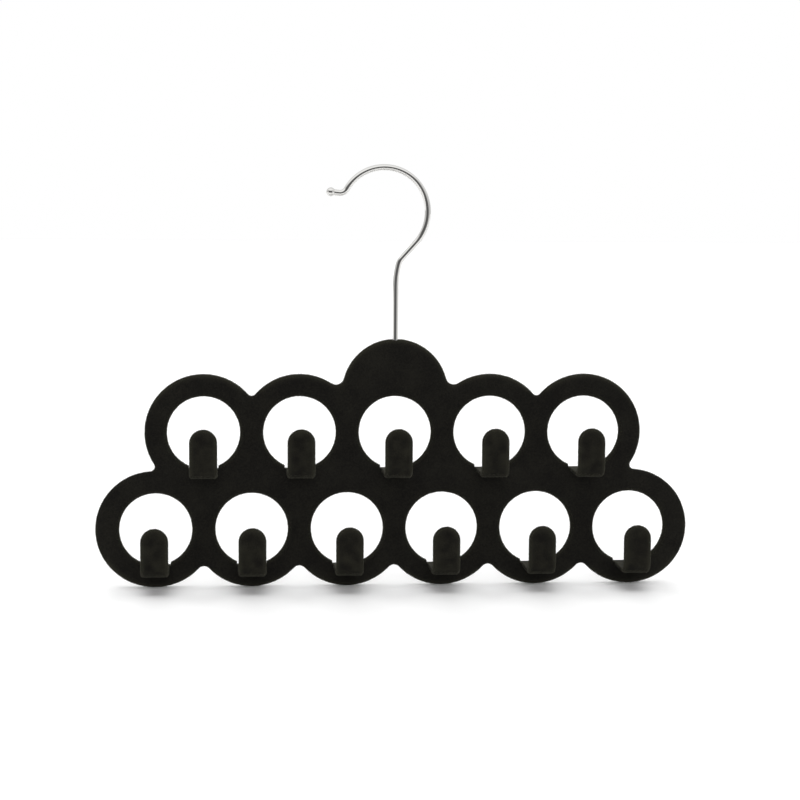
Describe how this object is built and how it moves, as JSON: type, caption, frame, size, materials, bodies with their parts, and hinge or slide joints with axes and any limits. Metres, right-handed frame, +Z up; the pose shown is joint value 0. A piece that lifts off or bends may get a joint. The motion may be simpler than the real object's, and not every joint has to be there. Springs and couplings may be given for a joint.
{
  "type": "scarf hanger",
  "caption": "Flat velvet-flocked hanger with two staggered rows of round loops, a J-shaped tab in front of each loop and a wire hook that turns in its head.",
  "frame": {"origin": "the rail's seat: the highest point of the hook's inner side, on the wire's middle plane", "axes": "+Z up, +X along the plate to the right seen from the tabs' side, +Y from the tabs to the plate's flat back"},
  "size_m": [0.3752, 0.0369, 0.2654],
  "materials": {
    "plate_flock": "black velvet flock on moulded plastic",
    "tab_flock": "black velvet flock on moulded plastic",
    "hook_chrome": "bright chrome plate on steel wire",
    "sleeve_steel": "plain drawn tube",
    "collar_steel": "plain turned steel"
  },
  "bodies": {
    "hook": {"hook_wire": "hook_chrome", "hook_tip_ball": "hook_chrome", "hook_end_collar": "collar_steel"},
    "hanger": {"loop_plate": "plate_flock", "neck_sleeve": "sleeve_steel", "scarf_tab_upper_1": "tab_flock", "scarf_tab_upper_2": "tab_flock", "scarf_tab_upper_3": "tab_flock", "scarf_tab_upper_4": "tab_flock", "scarf_tab_upper_5": "tab_flock", "scarf_tab_lower_1": "tab_flock", "scarf_tab_lower_2": "tab_flock", "scarf_tab_lower_3": "tab_flock", "scarf_tab_lower_4": "tab_flock", "scarf_tab_lower_5": "tab_flock", "scarf_tab_lower_6": "tab_flock"}
  },
  "joints": [
    {"name": "hook_swivel", "type": "hinge", "parent": "hook", "child": "hanger", "pos_m": [0.0074, 0, -0.10515], "axis": [0, 0, 1], "continuous": true}
  ]
}
